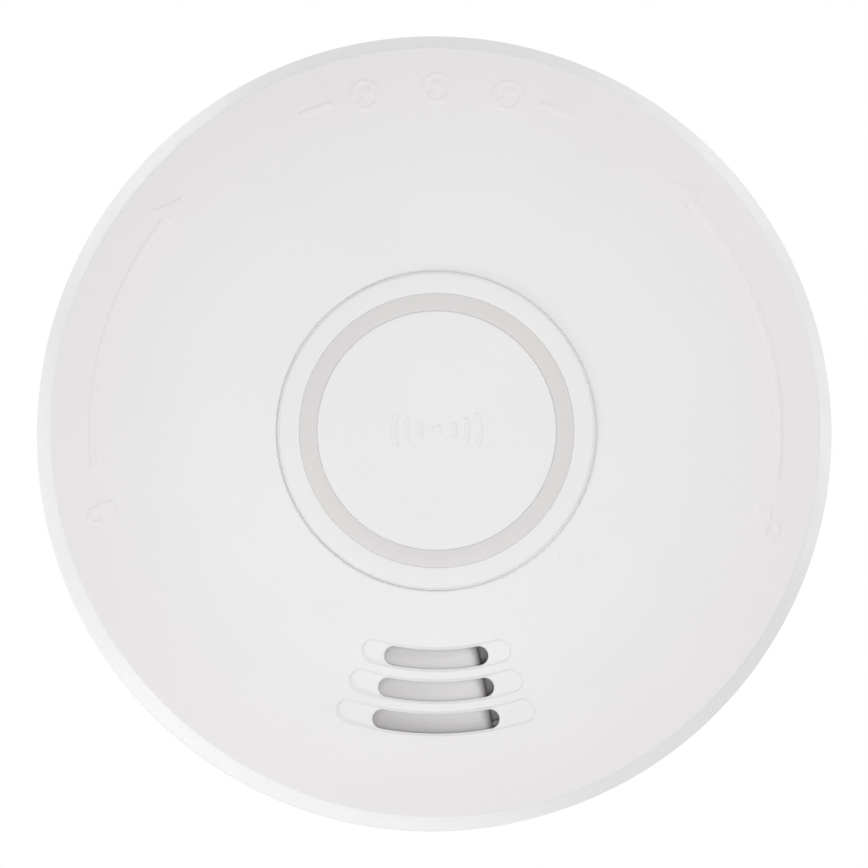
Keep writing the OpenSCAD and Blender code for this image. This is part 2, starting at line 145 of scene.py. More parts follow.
def sd_triangle(x, y, points):
    """Distance to a triangle, its corners given anticlockwise."""
    inside, edge = None, None
    for (ax, ay), (bx, by) in zip(points, points[1:] + points[:1]):
        line = sd_bar(x, y, ax, ay, bx, by, 0)
        side = (bx - ax) * (y - ay) - (by - ay) * (x - ax) > 0
        edge = line if edge is None else np.minimum(edge, line)
        inside = side if inside is None else inside & side
    return np.where(inside, -edge, edge)


def local(x, y, r, angle):
    """Coordinates in a mark's own axes: its centre at radius r and angle, its top outwards."""
    a = math.radians(angle)
    cx, cy = r * math.cos(a), r * math.sin(a)
    out = (x - cx) * math.cos(a) + (y - cy) * math.sin(a)
    across = (x - cx) * math.sin(a) - (y - cy) * math.cos(a)
    return across, out


def smooth_step(d, width):
    """1 inside an outline, 0 outside, with a soft flank of the given width."""
    t = np.clip(0.5 - d / width, 0, 1)
    return t * t * (3 - 2 * t)


def edge_drop(t, radius, share):
    """How far an edge rounds down, from t = 0 where the rounding starts to t = 1 at the edge. A
    share of 1 would turn it right down to the vertical."""
    t = np.clip(t, 0, 1)
    return radius * (1 - np.sqrt(np.clip(1 - (share * t) ** 2, 0, 1)))


# ---------------------------------------------------------------- raised marks

MARK_R = 43.0
MARK_H = 0.13
MARK_FLANK = 0.3
ARROW_W = 0.7
ARROW_HEAD = 3.4
ARROW_HALF = 1.8
SYMBOL_H = 0.12
SYMBOL_FLANK = 0.2


def turn_arrow(x, y, a0, a1):
    """An arrow bent round the axis, its head at a1."""
    d = sd_arc(x, y, MARK_R, ARROW_W, (a0 + a1) / 2, abs(a1 - a0) / 2)
    across, out = local(x, y, MARK_R, a1)
    side = -1 if a1 > a0 else 1
    corners = [(0, side * ARROW_HALF), (0, -side * ARROW_HALF), (side * ARROW_HEAD, 0)]
    return np.minimum(d, sd_triangle(across, out, corners))


def padlock(x, y, angle, opened):
    """A padlock with its shackle over the body, or swung to one side."""
    u, v = local(x, y, MARK_R, angle)
    body = sd_box(u, v, 0, -0.8, 1.4, 1.0)
    side = 1.0 if opened else 0.0
    shackle = np.abs(np.hypot(u - side, v - 0.7) - 0.88) - 0.22
    shackle = np.where(v > 0.1, shackle, np.hypot(np.abs(u - side) - 0.88, v - 0.1) - 0.22)
    return np.minimum(body, shackle)


def no_paint(x, y, angle):
    """A brush in a ring, crossed out."""
    u, v = local(x, y, MARK_R, angle)
    d = np.abs(np.hypot(u, v) - 1.7) - 0.2
    d = np.minimum(d, sd_bar(u, v, 0, -1.0, 0, 0, 0.4))
    d = np.minimum(d, sd_box(u, v, 0, 0.5, 0.6, 0.45))
    return np.minimum(d, sd_bar(u, v, -1.1, -1.1, 1.1, 1.1, 0.34))


def face_marks(x, y):
    """Distance to the nearest raised mark on the front cover."""
    d = np.minimum(turn_arrow(x, y, 186, 142), turn_arrow(x, y, -8, 42))
    d = np.minimum(d, padlock(x, y, 194, False))
    d = np.minimum(d, padlock(x, y, -15, True))
    for angle in (78, 90, 102):
        d = np.minimum(d, no_paint(x, y, angle))
    for mid in (110.5, 69.5):
        d = np.minimum(d, sd_arc(x, y, MARK_R, ARROW_W, mid, 2.5))
    return d


def sound_symbol(x, y):
    """Distance to the raised mark on the button: a dot between two sets of arcs."""
    d = np.hypot(x, y) - 0.6
    for r in (2.2, 3.8, 5.4):
        for mid in (0, 180):
            d = np.minimum(d, sd_arc(x, y, r, 0.5, mid, 20))
    return d


# ---------------------------------------------------------------- sound slots


def to_end(half, r, width):
    """Half angle of a bar's centre line, for the half angle of the bar with its round ends."""
    return half - math.degrees(math.asin(width / 2 / r))


def slots(x, y):
    """Distance to the edge of the nearest sound slot."""
    return np.minimum.reduce([sd_arc(x, y, r, SLOT_W, DOWN, to_end(half, r, SLOT_W))
                              for r, half in zip(SLOT_R, SLOT_HALF)])


def scoops(x, y):
    """Distance to the edge of the nearest scoop."""
    return np.minimum.reduce([sd_arc(x, y, r, SCOOP_W, DOWN, to_end(half, r, SCOOP_W))
                              for r, half in zip(SLOT_R, SCOOP_HALF)])


# ---------------------------------------------------------------- mesh tools


def put(points):
    """Row-frame coordinates, in metres, of points in the alarm's own axes."""
    p = np.asarray(points, float).reshape(-1, 3)
    return np.column_stack([p[:, 0], -p[:, 2], p[:, 1]]) * MM


def linked(name, data):
    """A new object in the scene."""
    obj = bpy.data.objects.new(name, data)
    bpy.context.scene.collection.objects.link(obj)
    return obj


# how near points are merged, in metres, and the angle in degrees over which an edge stays sharp
MERGE = 0.002 * MM
SHARP = 32


class Shape:
    """Vertices and faces collected in the alarm's own axes."""

    def __init__(self):
        self.points, self.faces = [], []

    def add(self, points, faces):
        """Adds faces, which count from the first of their own points."""
        base = sum(len(p) for p in self.points)
        self.points.append(np.asarray(points, float).reshape(-1, 3))
        self.faces += [[base + i for i in f] for f in faces]
        return self

    def object(self, name):
        """The mesh object of what was collected, its doubled points merged."""
        mesh = bpy.data.meshes.new(name)
        mesh.from_pydata(put(np.vstack(self.points)).tolist(), [], self.faces)
        bm = bmesh.new()
        bm.from_mesh(mesh)
        bmesh.ops.remove_doubles(bm, verts=bm.verts, dist=MERGE)
        bmesh.ops.recalc_face_normals(bm, faces=bm.faces)
        bm.to_mesh(mesh)
        bm.free()
        mesh.shade_smooth()
        mesh.set_sharp_from_angle(angle=math.radians(SHARP))
        return linked(name, mesh)


def rounded(corners, step=15):
    """A profile from corners (r, z, rounding radius), each corner turned into an arc."""
    out = []
    for i, (r, z, radius) in enumerate(corners):
        here = Vector((r, z))
        if radius <= 0 or i in (0, len(corners) - 1):
            out.append(here)
            continue
        before = Vector(corners[i - 1][:2]) - here
        after = Vector(corners[i + 1][:2]) - here
        angle = before.angle(after)
        reach = min(radius / math.tan(angle / 2), before.length * 0.49, after.length * 0.49)
        radius = reach * math.tan(angle / 2)
        middle = here + (before.normalized() + after.normalized()).normalized() \
            * (radius / math.sin(angle / 2))
        start = here + before.normalized() * reach - middle
        end = here + after.normalized() * reach - middle
        turn = start.angle_signed(end)
        count = max(2, math.ceil(abs(math.degrees(turn)) / step))
        for k in range(count + 1):
            spin = Matrix.Rotation(-turn * k / count, 2)
            out.append(middle + spin @ start)
    return [(p.x, p.y) for p in out]


def revolve(shape, profile, steps):
    """Turns a profile of (r, z) about the axis."""
    a = np.arange(steps) * 2 * math.pi / steps
    points, faces = [], []
    for r, z in profile:
        points += list(zip(r * np.cos(a), r * np.sin(a), np.full(steps, z)))
    for i in range(len(profile) - 1):
        for k in range(steps):
            m = (k + 1) % steps
            faces.append([i * steps + k, i * steps + m, (i + 1) * steps + m, (i + 1) * steps + k])
    return shape.add(points, faces)


def circle_points(r, count):
    """Points evenly round the axis."""
    a = np.arange(count) * 2 * math.pi / count
    return np.column_stack([r * np.cos(a), r * np.sin(a)])


def arc_outline(r, w, mid, half, gap, spacing):
    """Closed outline round a bent bar with round ends, grown by gap."""
    h = w / 2 + gap
    m0, m1 = math.radians(mid - half), math.radians(mid + half)
    long = max(8, round((m1 - m0) * r / spacing))
    cap = max(8, round(math.pi * h / spacing))
    out = []
    for a in np.linspace(m0, m1, long, endpoint=False):
        out.append(((r + h) * math.cos(a), (r + h) * math.sin(a)))
    for b in np.linspace(0, math.pi, cap, endpoint=False):
        out.append((r * math.cos(m1) + h * math.cos(m1 + b),
                    r * math.sin(m1) + h * math.sin(m1 + b)))
    for a in np.linspace(m1, m0, long, endpoint=False):
        out.append(((r - h) * math.cos(a), (r - h) * math.sin(a)))
    for b in np.linspace(math.pi, 2 * math.pi, cap, endpoint=False):
        out.append((r * math.cos(m0) + h * math.cos(m0 + b),
                    r * math.sin(m0) + h * math.sin(m0 + b)))
    return np.array(out)


def grid_near(distance, low, high, spacing, reach, clear=0.0):
    """Points of a square grid where the distance field lies between clear and reach."""
    xs = np.arange(low[0], high[0], spacing)
    ys = np.arange(low[1], high[1], spacing)
    x, y = (v.ravel() for v in np.meshgrid(xs, ys))
    d = np.abs(distance(x, y))
    keep = (d < reach) & (d >= clear)
    return np.column_stack([x[keep], y[keep]])


def triangulate(loops, points, keep):
    """Triangles over the points and closed loops, where keep(x, y) is true at their centres."""
    every = [np.asarray(loop) for loop in loops]
    edges, base = [], 0
    for loop in every:
        n = len(loop)
        edges += [(base + i, base + (i + 1) % n) for i in range(n)]
        base += n
    flat = np.vstack(every + [points]) if len(points) else np.vstack(every)
    verts, _, faces, *_ = delaunay_2d_cdt([Vector(p) for p in flat], edges, [], 0, 1e-5)
    verts = np.array([(v.x, v.y) for v in verts])
    faces = np.array(faces)
    centre = verts[faces].mean(axis=1)
    return verts, faces[keep(centre[:, 0], centre[:, 1])]


def bevelled_box(shape, low, high, width=0.25):
    """A box with bevelled edges, added to a shape."""
    bm = bmesh.new()
    bmesh.ops.create_cube(bm, size=1)
    size = np.array(high) - np.array(low)
    middle = (np.array(high) + np.array(low)) / 2
    for v in bm.verts:
        v.co = Vector(np.array(v.co) * size + middle)
    bmesh.ops.bevel(bm, geom=list(bm.edges), offset=width, segments=2, affect="EDGES", profile=0.5)
    bm.verts.ensure_lookup_table()
    shape.add([tuple(v.co) for v in bm.verts], [[v.index for v in f.verts] for f in bm.faces])
    bm.free()


def spun(points, angle):
    """Points turned about the axis by an angle in degrees."""
    a = math.radians(angle)
    p = np.asarray(points, float)
    return np.column_stack([p[:, 0] * math.cos(a) - p[:, 1] * math.sin(a),
                            p[:, 0] * math.sin(a) + p[:, 1] * math.cos(a), p[:, 2]])


def spun_box(shape, low, high, angle, width=0.25):
    """A bevelled box turned about the axis, added to a shape."""
    part = Shape()
    bevelled_box(part, low, high, width)
    shape.add(spun(part.points[0], angle), part.faces)


def flat_faces(node):
    """The CAD node's mesh with its triangles joined into flat faces."""
    bm = bmesh.new()
    bm.from_mesh(frame["nodes"][node].data)
    bmesh.ops.remove_doubles(bm, verts=bm.verts, dist=1e-6)
    bmesh.ops.dissolve_limit(bm, angle_limit=math.radians(1), verts=bm.verts, edges=bm.edges)
    return bm


def solid_centres(node):
    """Centre, across the face, of each separate solid of a CAD node, in millimetres. They are
    sorted, because the order in a set of vertices is not the same each run."""
    bm = flat_faces(node)
    left, centres = set(bm.verts), []
    while left:
        island, edge = set(), [left.pop()]
        while edge:
            v = edge.pop()
            island.add(v)
            fresh = {e.other_vert(v) for e in v.link_edges} & left
            left -= fresh
            edge += fresh
        p = np.array([v.co for v in island]) / MM
        middle = (p.min(axis=0) + p.max(axis=0)) / 2
        centres.append((middle[0], middle[2]))
    bm.free()
    return sorted(centres)


def stand_for(obj, node):
    """Makes a piece stand for a CAD node: same body, same material slot."""
    row = next(s for s in frame["record"]["subparts"] if s["node"] == node)
    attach(obj, BODY_OF[node])
    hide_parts(node)
    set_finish(obj, row["material_slot"])
    return obj


# ---------------------------------------------------------------- front cover

# points round the larger circles, and round those of the button and its well
ROUND = 360
WELL_ROUND = 240
# spacings of the grids that follow raised and sunk edges
FINE = 0.085
COARSE = 0.3

# the face ends at RIM_R, where the bevel's profile takes over, and its underside at INNER_R
RIM_R = FACE_R - 0.9
INNER_R = BODY_R - DRAFT - WALL
UNDER_R = FACE_R - 1.6
BEVEL_UNDER_Z = BEVEL_Z - 0.6

# how the face rounds into the button's opening and into the slots
LIP = 0.4
LIP_SHARE = 0.88
SLOT_FILLET = 0.16
SLOT_SHARE = 0.97
SCOOP_FLANK = 0.22

# the mark that the moulding's gate left, lower right of the button
PIT_AT = (15.5, -15.8)
PIT_R = 0.2
PIT_DEPTH = 0.12
PIT_FLANK = 0.2

# the pocket under the slots: a disc, cut to a band of radii, and the shell's thickness over it
SOUNDER_AT = (-2, -31)
POCKET_R = 13.1
BAND_R = 32
BAND_HALF = 8.5
POCKET_WALL = 1.2

# inside the cover: the button's well, the openings in its floor, the spring cup, the screw posts
WELL_WALL = 1.6
WELL_FLOOR = 1.6
CUP_IN = 6.2
CUP_OUT = 7.6
LEG_R = WELL_R - 1.9
SNAP_ANGLES = (60, 180, 300)
LIGHT_ANGLES = (200, 340)
POST_ANGLES = (113, 233, 353)
POST_R = 41


def pit(x, y):
    """Distance to the edge of the pit."""
    return np.hypot(x - PIT_AT[0], y - PIT_AT[1]) - PIT_R


def cover_height(x, y):
    """Height of the face, with its lip, marks, scoops, pit and rounded slot edges."""
    r = np.hypot(x, y)
    z = face_z(r) - edge_drop((WELL_R + LIP - r) / LIP, LIP, LIP_SHARE)
    z = z + MARK_H * smooth_step(face_marks(x, y), MARK_FLANK)
    z = z - SCOOP_DEPTH * smooth_step(scoops(x, y), SCOOP_FLANK)
    z = z - PIT_DEPTH * smooth_step(pit(x, y), PIT_FLANK)
    return z - edge_drop(1 - slots(x, y) / SLOT_FILLET, SLOT_FILLET, SLOT_SHARE)


def pocket(x, y):
    """Distance to the outline of the pocket that the sounder's plate fits, under the slots."""
    disc = np.hypot(x - SOUNDER_AT[0], y - SOUNDER_AT[1]) - POCKET_R
    return np.maximum(disc, np.abs(np.hypot(x, y) - BAND_R) - BAND_HALF)


def under_z(x, y):
    """Height of the shell's underside: parallel to the face, with the pocket sunk in it."""
    r = np.hypot(x, y)
    middle = SLOT_R[1]
    slope = (face_z(SLOT_R[0]) - face_z(SLOT_R[2])) / (SLOT_R[2] - SLOT_R[0])
    plane = face_z(middle) - POCKET_WALL + (y + middle) * slope
    plain = np.where(r > UNDER_R, BEVEL_UNDER_Z, face_z(r) - WALL)
    share = smooth_step(pocket(x, y), 0.5)
    return plane * share + plain * (1 - share)


def slot_loops(gap, spacing=0.35):
    """Outlines of the slots, grown by a gap."""
    return [arc_outline(r, SLOT_W, DOWN, to_end(half, r, SLOT_W), gap, spacing)
            for r, half in zip(SLOT_R, SLOT_HALF)]


def on_cover(x, y):
    """True on the face, between the button's opening and the rim, outside the slots."""
    r = np.hypot(x, y)
    return (slots(x, y) > 0) & (r > WELL_R * 0.9999) & (r < RIM_R)


def face_points():
    """Points over the face: rings everywhere, a fine grid along every raised or sunk edge."""
    rings = [circle_points(r, ROUND if r > 30 else WELL_ROUND)
             for r in np.arange(WELL_R + 1.0, RIM_R, 1.0)]
    lips = [circle_points(WELL_R + LIP * t, WELL_ROUND)
            for t in (0.06, 0.15, 0.27, 0.42, 0.6, 0.8, 1.0)]
    p = np.vstack(rings + lips + [circle_points(RIM_R - 0.5, ROUND)])
    r = np.hypot(p[:, 0], p[:, 1])
    plain = (np.abs(face_marks(p[:, 0], p[:, 1])) > 0.9) & (np.abs(scoops(p[:, 0], p[:, 1])) > 1.2)
    p = p[plain | (r < WELL_R + LIP + 0.1)]
    pit_low, pit_high = np.subtract(PIT_AT, 1), np.add(PIT_AT, 1)
    p = np.vstack([p, grid_near(face_marks, (-47, -25), (47, 47), FINE, 0.2),
                   grid_near(face_marks, (-47, -25), (47, 47), COARSE, 0.8, 0.25),
                   grid_near(scoops, (-16, -42), (16, -24), FINE, 0.26),
                   grid_near(scoops, (-18, -44), (18, -24), COARSE, 1.2, 0.33),
                   grid_near(pit, pit_low, pit_high, 0.08, 0.4)])
    r = np.hypot(p[:, 0], p[:, 1])
    clear = (slots(p[:, 0], p[:, 1]) > SLOT_FILLET + 0.06) & (r < RIM_R - 0.05) & (r > WELL_R + 0.03)
    return p[clear]


def cover_face(shape):
    """The face, with its lip, scoops, slots and raised marks."""
    fillets = [SLOT_FILLET * t for t in (0.15, 0.4, 0.7, 1.0)]
    points = np.vstack([face_points()] + [np.vstack(slot_loops(g)) for g in fillets])
    loops = [circle_points(WELL_R, WELL_ROUND), circle_points(RIM_R, ROUND)] + slot_loops(0)
    flat, faces = triangulate(loops, points, on_cover)
    shape.add(np.column_stack([flat, cover_height(flat[:, 0], flat[:, 1])]), faces.tolist())


def cover_underside(shape):
    """The underside of the face, pierced by the same slots."""
    hole_r = WELL_R + WELL_WALL
    under = np.vstack([circle_points(r, 90) for r in np.arange(WELL_R + 3, INNER_R - 1, 2.5)]
                      + [grid_near(pocket, (-17, -42), (13, -20), 0.45, 0.7)])
    under = under[slots(under[:, 0], under[:, 1]) > 0.2]
    loops = [circle_points(hole_r, WELL_ROUND), circle_points(INNER_R, ROUND)] + slot_loops(0)
    flat, faces = triangulate(loops, under, lambda x, y: (slots(x, y) > 0)
                              & (np.hypot(x, y) > hole_r - 0.01) & (np.hypot(x, y) < INNER_R))
    shape.add(np.column_stack([flat, under_z(flat[:, 0], flat[:, 1])]), faces[:, ::-1].tolist())


def slot_walls(shape):
    """The walls of the slots, from the face to the underside."""
    for loop in slot_loops(0):
        n = len(loop)
        top = np.column_stack([loop, cover_height(loop[:, 0], loop[:, 1])])
        low = np.column_stack([loop, under_z(loop[:, 0], loop[:, 1])])
        walls = [[i, (i + 1) % n, n + (i + 1) % n, n + i] for i in range(n)]
        shape.add(np.vstack([top, low]), walls)


def front_cover():
    """The shell: face, underside, slot walls, the bevel and side wall, and what is inside it."""
    shape = Shape()
    cover_face(shape)
    cover_underside(shape)
    slot_walls(shape)
    side = rounded([
        (RIM_R, face_z(RIM_R), 0), (FACE_R, face_z(FACE_R), 0.2), (BODY_R - DRAFT, BEVEL_Z, 0.9),
        (BODY_R, COVER_Z, 0.45), (BODY_R - WALL, COVER_Z, 0.3), (INNER_R, BEVEL_UNDER_Z, 0)], step=10)
    revolve(shape, side, ROUND)
    button_well(shape)
    screw_posts(shape)
    return stand_for(shape.object("front_cover_shell"), "front_cover")


def well_openings():
    """Outlines of the openings for the snap legs and the light guides."""
    sizes = [(a, LEG_R + 0.2, 3, 5) for a in SNAP_ANGLES]
    sizes += [(a, (RING_IN + RING_OUT) / 2, 2.6, 4) for a in LIGHT_ANGLES]
    out = []
    for angle, r, radial, across in sizes:
        corners = [(r + i * radial / 2, j * across / 2, 0)
                   for i, j in ((-1, -1), (1, -1), (1, 1), (-1, 1))]
        out.append(spun(corners, angle)[:, :2])
    return out


def outside(holes, x, y):
    """True for points outside every one of the four-sided holes."""
    in_one = np.zeros(len(x), bool)
    for hole in holes:
        inside = np.ones(len(x), bool)
        for (ax, ay), (bx, by) in zip(hole, np.roll(hole, -1, axis=0)):
            inside &= (bx - ax) * (y - ay) - (by - ay) * (x - ax) > 0
        in_one |= inside
    return ~in_one


def button_well(shape):
    """The wall of the button well, its floor with openings, and the spring cup."""
    low, high = WELL_Z, WELL_Z + WELL_FLOOR
    outer_r = WELL_R + WELL_WALL
    lip = float(cover_height(np.array([WELL_R]), np.array([0.0]))[0])
    revolve(shape, [(WELL_R, lip), (WELL_R, high)], WELL_ROUND)
    revolve(shape, [(outer_r, low), (outer_r, face_z(outer_r) - WALL)], WELL_ROUND)
    ledge, foot = low - 4.4, low - 5.6
    cup = rounded([(CUP_IN, high, 0), (CUP_IN, ledge, 0.3), (2.9, ledge, 0.2), (2.9, foot, 0.2),
                   (CUP_OUT, foot, 0.4), (CUP_OUT, low, 0)])
    revolve(shape, cup, WELL_ROUND)
    holes = well_openings()
    for z, inner, outer in ((high, CUP_IN, WELL_R), (low, CUP_OUT, outer_r)):
        loops = [circle_points(inner, WELL_ROUND), circle_points(outer, WELL_ROUND)] + holes
        flat, faces = triangulate(loops, np.empty((0, 2)), lambda x, y: outside(holes, x, y)
                                  & (np.hypot(x, y) > inner * 0.9999) & (np.hypot(x, y) < outer))
        shape.add(np.column_stack([flat, np.full(len(flat), z)]), faces.tolist())
    for hole in holes:
        ends = np.vstack([np.column_stack([hole, np.full(4, z)]) for z in (high, low)])
        shape.add(ends, [[i, (i + 1) % 4, 4 + (i + 1) % 4, 4 + i] for i in range(4)])


def screw_posts(shape):
    """Three posts under the face, bored for the screws from the back."""
    foot = size_of("circuit_board")[0][2] + 2.6
    top = face_z(POST_R) - 1.2
    bore = foot + 11.4
    post = rounded([(0.01, top, 0), (3, top, 0.1), (3, foot, 0.3), (1.5, foot, 0.2),
                    (1.5, bore, 0.1), (0.01, bore, 0)])
    for angle in POST_ANGLES:
        part = revolve(Shape(), post, 48)
        shape.add(spun(part.points[0] + np.array([POST_R, 0, 0]), angle), part.faces)


# ---------------------------------------------------------------- test button and light ring

CAP_R = RING_IN - 0.9
LEDGE_Z = BUTTON_TOP - 0.7
SKIRT_R = WELL_R - 0.02
HUB_R = 2.5
HUB_Z = 22.1


def button_cap(shape):
    """The top of the button's cap, with its raised symbol."""
    rings = np.vstack([circle_points(r, max(24, round(r * 8))) for r in np.arange(1.0, CAP_R, 0.9)])
    near = np.abs(sound_symbol(rings[:, 0], rings[:, 1])) > 0.7
    fine = grid_near(sound_symbol, (-7, -4), (7, 4), FINE, 0.2)
    mid = grid_near(sound_symbol, (-8, -5), (8, 5), COARSE, 0.7, 0.25)
    flat, faces = triangulate([circle_points(CAP_R, WELL_ROUND)], np.vstack([rings[near], fine, mid]),
                              lambda x, y: np.hypot(x, y) < CAP_R)
    z = CAP_TOP + SYMBOL_H * smooth_step(sound_symbol(flat[:, 0], flat[:, 1]), SYMBOL_FLANK)
    shape.add(np.column_stack([flat, z]), faces.tolist())


def test_button():
    """The button's moulding: cap, channel, outer ring on a wider skirt, ribs, hub and snap legs."""
    shape = Shape()
    button_cap(shape)
    profile = rounded([
        (CAP_R, CAP_TOP, 0), (RING_IN, CAP_TOP, 0.2), (RING_IN, CHANNEL_Z, 0.1),
        (RING_OUT, CHANNEL_Z, 0.1), (RING_OUT, BUTTON_TOP, 0.05), (BUTTON_R, BUTTON_TOP, 0.35),
        (BUTTON_R, LEDGE_Z, 0.15), (SKIRT_R, LEDGE_Z, 0.02), (SKIRT_R, WEB_Z, 0.3),
        (RING_IN - 1.4, WEB_Z, 0.2), (RING_IN - 1.4, CHANNEL_Z, 0.3), (HUB_R, CHANNEL_Z, 0.6),
        (HUB_R, HUB_Z, 0.3), (0.01, HUB_Z, 0)])
    revolve(shape, profile, WELL_ROUND)
    for angle in (45, 135, 225, 315):
        spun_box(shape, (2.0, -0.5, WEB_Z + 0.4), (RING_IN - 1.0, 0.5, CHANNEL_Z + 0.2), angle, 0.15)
    for angle in SNAP_ANGLES:
        spun_box(shape, (LEG_R, -2, WEB_Z - 5.5), (LEG_R + 1.2, 2, WEB_Z + 0.2), angle)
        spun_box(shape, (LEG_R, -2, WEB_Z - 5.5), (LEG_R + 2.7, 2, WEB_Z - 3.9), angle)
    return stand_for(shape.object("test_button_moulding"), "test_button")


def light_ring():
    """The milky ring, with its two light-guide legs."""
    shape = Shape()
    low, high = RING_IN + 0.005, RING_OUT - 0.01
    base = CHANNEL_Z + 0.05
    profile = rounded([(low, base, 0.1), (low, BUTTON_TOP, 0.03), (high, BUTTON_TOP, 0.04),
                       (high, base, 0.1), (low, base, 0.1)])
    revolve(shape, profile, WELL_ROUND)
    middle = (low + high) / 2
    bottom = size_of("light_ring")[0][2]
    for angle in LIGHT_ANGLES:
        spun_box(shape, (middle - 0.9, -1.5, bottom), (middle + 0.9, 1.5, CHANNEL_Z + 0.2), angle)
    return stand_for(shape.object("light_ring_diffuser"), "light_ring")


# ---------------------------------------------------------------- spring, cell and board parts


def button_spring():
    """A coil of round wire with closed ends, which squashes when the button is pressed."""
    low, high = size_of("button_spring")
    wire, turns, steps, sides = 0.35, 4, 48, 12
    r, z0, z1 = high[0] - wire, low[2] + wire, high[2] - wire
    shape, points = Shape(), []
    for k in range(turns * steps + 1):
        a, t = 2 * math.pi * k / steps, k / turns / steps
        z = z0 + (z1 - z0) * t
        for s in range(sides):
            b = 2 * math.pi * s / sides
            out = r + wire * math.cos(b)
            points.append((out * math.cos(a), out * math.sin(a), z + wire * math.sin(b)))
    last = turns * steps * sides
    faces = [[k * sides + s, k * sides + (s + 1) % sides, (k + 1) * sides + (s + 1) % sides,
              (k + 1) * sides + s] for k in range(turns * steps) for s in range(sides)]
    shape.add(points, faces + [list(range(sides))[::-1], [last + s for s in range(sides)]])
    obj = stand_for(shape.object("button_spring_coil"), "button_spring")
    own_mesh(obj)
    return obj


def turned(name, node, profile, centre=(0, 0), steps=64, lay=None):
    """A piece turned from a profile: standing at centre, or laid along y at the height lay."""
    shape = revolve(Shape(), profile, steps)
    points = shape.points[0]
    if lay is not None:
        points = np.column_stack([points[:, 0], points[:, 2], points[:, 1]])
        points = points + np.array([0, 0, lay])
    shape.points[0] = points + np.array([*centre, 0])
    return stand_for(shape.object(name), node)


def battery_cell():
    """A lithium cell in a shrink sleeve: rolled ends, a groove under the cap and a pole."""
    low, high = size_of("battery_cell")
    r, half = (high[0] - low[0]) / 2, (high[1] - low[1]) / 2
    profile = rounded([
        (0.01, -half, 0), (r - 2.2, -half, 0.3), (r - 2.0, -half + 0.25, 0.2), (r - 1.2, -half, 0.3),
        (r, -half, 1.0), (r, half - 3.6, 0.3), (r - 0.35, half - 3.1, 0.3), (r, half - 2.6, 0.3),
        (r, half - 1, 0.9), (r - 2.2, half - 1, 0.3), (r - 2.4, half - 1.35, 0.2),
        (3.3, half - 1.35, 0.3), (3.3, half, 0.4), (0.01, half, 0)])
    middle = (low + high) / 2
    return turned("battery_cell_sleeve", "battery_cell", profile, middle[:2], 96, middle[2])


def capacitors():
    """Three cans: a rubber foot, a rolled neck, and a top scored with a cross."""
    low, high = size_of("capacitors")
    z0, z1, r = low[2], high[2], 3.15
    shape = Shape()
    profile = rounded([
        (r - 0.3, z0 + 0.3, 0), (r, z0 + 0.5, 0.15), (r, z0 + 1.2, 0.15), (r - 0.25, z0 + 1.5, 0.15),
        (r, z0 + 1.8, 0.15), (r, z1, 0.45), (r - 0.6, z1, 0.1), (r - 0.7, z1 - 0.12, 0.08),
        (0.01, z1 - 0.12, 0)])
    for x, y in solid_centres("capacitors"):
        can = revolve(Shape(), profile, 64)
        shape.add(can.points[0] + np.array([x, y, 0]), can.faces)
        for size in ((2.2, 0.09), (0.09, 2.2)):
            bevelled_box(shape, (x - size[0], y - size[1], z1 - 0.16),
                         (x + size[0], y + size[1], z1 - 0.07), 0.02)
        bevelled_box(shape, (x - 2.8, y - 2.8, z0), (x + 2.8, y + 2.8, z0 + 0.5), 0.4)
    return stand_for(shape.object("capacitor_cans"), "capacitors")


def boost_coil():
    """A drum of ferrite wound with wire."""
    low, high = size_of("boost_coil")
    middle = (low + high) / 2
    z0, z1, r = low[2], high[2], (high[0] - low[0]) / 2
    core, wire = r - 1.0, 0.2
    profile = [(0.01, z0), (r - 0.2, z0), (r, z0 + 0.2), (r, z0 + 1.0), (r - 0.2, z0 + 1.2),
               (core, z0 + 1.2)]
    for k in range(round((z1 - z0 - 2.6) / (2 * wire))):
        z = z0 + 1.3 + wire * (2 * k + 1)
        profile += [(core + wire * math.cos(b) - wire, z + wire * math.sin(b))
                    for b in np.radians([-80, -40, 0, 40, 80])]
    profile += [(core, z1 - 1.2), (r - 0.2, z1 - 1.2), (r, z1 - 1.0), (r, z1 - 0.2),
                (r - 0.2, z1), (0.01, z1)]
    return turned("boost_coil_winding", "boost_coil", profile, middle[:2])


# ---------------------------------------------------------------- softened CAD pieces


def round_off(bm, edges, width, segments):
    """Rounds edges to a width in millimetres."""
    bmesh.ops.bevel(bm, geom=edges, offset=width * MM, segments=segments, affect="EDGES",
                    profile=0.5, clamp_overlap=True)


# angles in degrees: over the first an edge is rounded, over the second it stays sharp
SOFT_ANGLE = 32
SOFT_SHARP = 30


def softened(node, width, first=None):
    """A copy of a CAD node with its edges rounded, which stands for it. A first edit may be
    given, which works on the flat faces."""
    bm = flat_faces(node)
    if first:
        first(bm)
    sharp = [e for e in bm.edges if len(e.link_faces) == 2
             and e.calc_face_angle(0) > math.radians(SOFT_ANGLE)]
    round_off(bm, sharp, width, 2)
    mesh = bpy.data.meshes.new(node + "_soft")
    bm.to_mesh(mesh)
    bm.free()
    mesh.shade_smooth()
    mesh.set_sharp_from_angle(angle=math.radians(SOFT_SHARP))
    return stand_for(linked(node + "_soft", mesh), node)


# how far the port's edge is turned from upright, across the face, and its rounding
PORT_SLANT = 11.3
PORT_ROUND = 1.6


